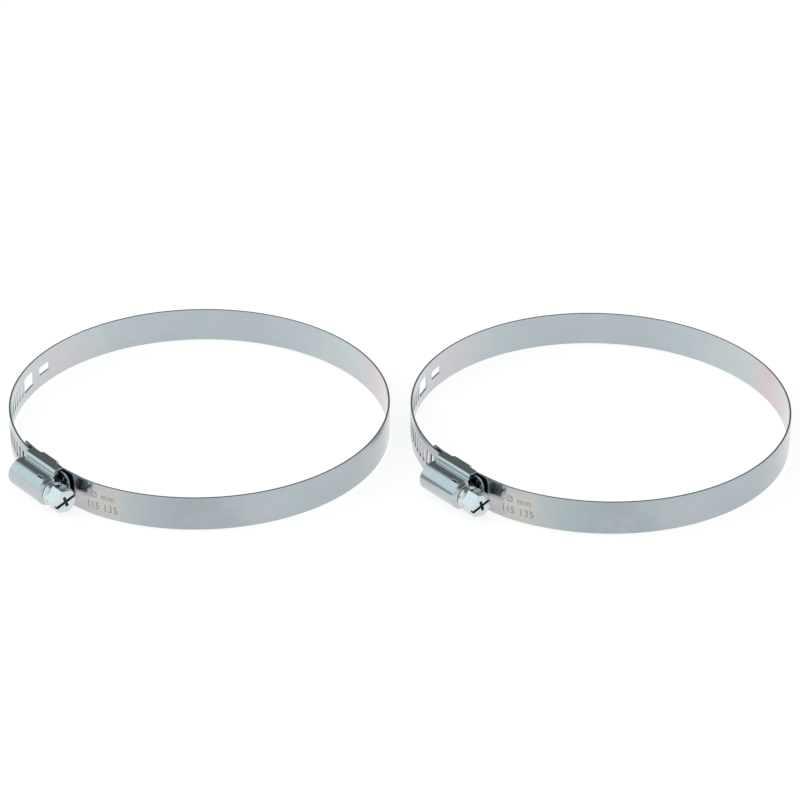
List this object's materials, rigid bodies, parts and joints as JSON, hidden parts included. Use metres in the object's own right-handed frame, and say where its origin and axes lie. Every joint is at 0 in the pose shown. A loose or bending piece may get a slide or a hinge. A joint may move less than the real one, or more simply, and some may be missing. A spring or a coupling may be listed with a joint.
{
  "type": "worm-drive duct clamp",
  "caption": "Perforated worm-drive band clamps for flexible air duct, each tightened by a hex-head screw.",
  "frame": {"origin": "centre of the pair's bounding box at its lowest face, midway between the two loops", "axes": "+X from the left clamp to the right one, +Z along both loops' axes, +Y away from the screws, to the loops' rear"},
  "size_m": [0.2806, 0.1362, 0.0147],
  "materials": {
    "band": "bright zinc plating on a smooth rolled strip",
    "housing": "bright zinc plating, glossier than the band",
    "saddle": "bright zinc plating",
    "worm_screw": "bright blue-white zinc plating"
  },
  "bodies": {
    "housings": {"left_housing": "housing", "left_saddle": "saddle", "right_housing": "housing", "right_saddle": "saddle"},
    "left_screw": {"left_worm_screw": "worm_screw"},
    "left_band": {"left_band": "band"},
    "right_screw": {"right_worm_screw": "worm_screw"},
    "right_band": {"right_band": "band"}
  },
  "joints": [
    {"name": "left_screw_turn", "type": "hinge", "parent": "housings", "child": "left_screw", "pos_m": [-0.12746, -0.04654, 0.00735], "axis": [-0.6428, 0.766, 0], "range_deg": [0, 6854.38]},
    {"name": "left_band_travel", "type": "hinge", "parent": "housings", "child": "left_band", "pos_m": [-0.072, 0, 0.00735], "axis": [0, 0, 1], "range_deg": [0, 52.71]},
    {"name": "right_screw_turn", "type": "hinge", "parent": "housings", "child": "right_screw", "pos_m": [0.01654, -0.04654, 0.00735], "axis": [-0.6428, 0.766, 0], "range_deg": [0, 6854.38]},
    {"name": "right_band_travel", "type": "hinge", "parent": "housings", "child": "right_band", "pos_m": [0.072, 0, 0.00735], "axis": [0, 0, 1], "range_deg": [0, 52.71]}
  ],
  "couplings": [
    {"joint": "left_band_travel", "follows": "left_screw_turn", "ratio": 0.0076898},
    {"joint": "right_band_travel", "follows": "right_screw_turn", "ratio": 0.0076898}
  ]
}
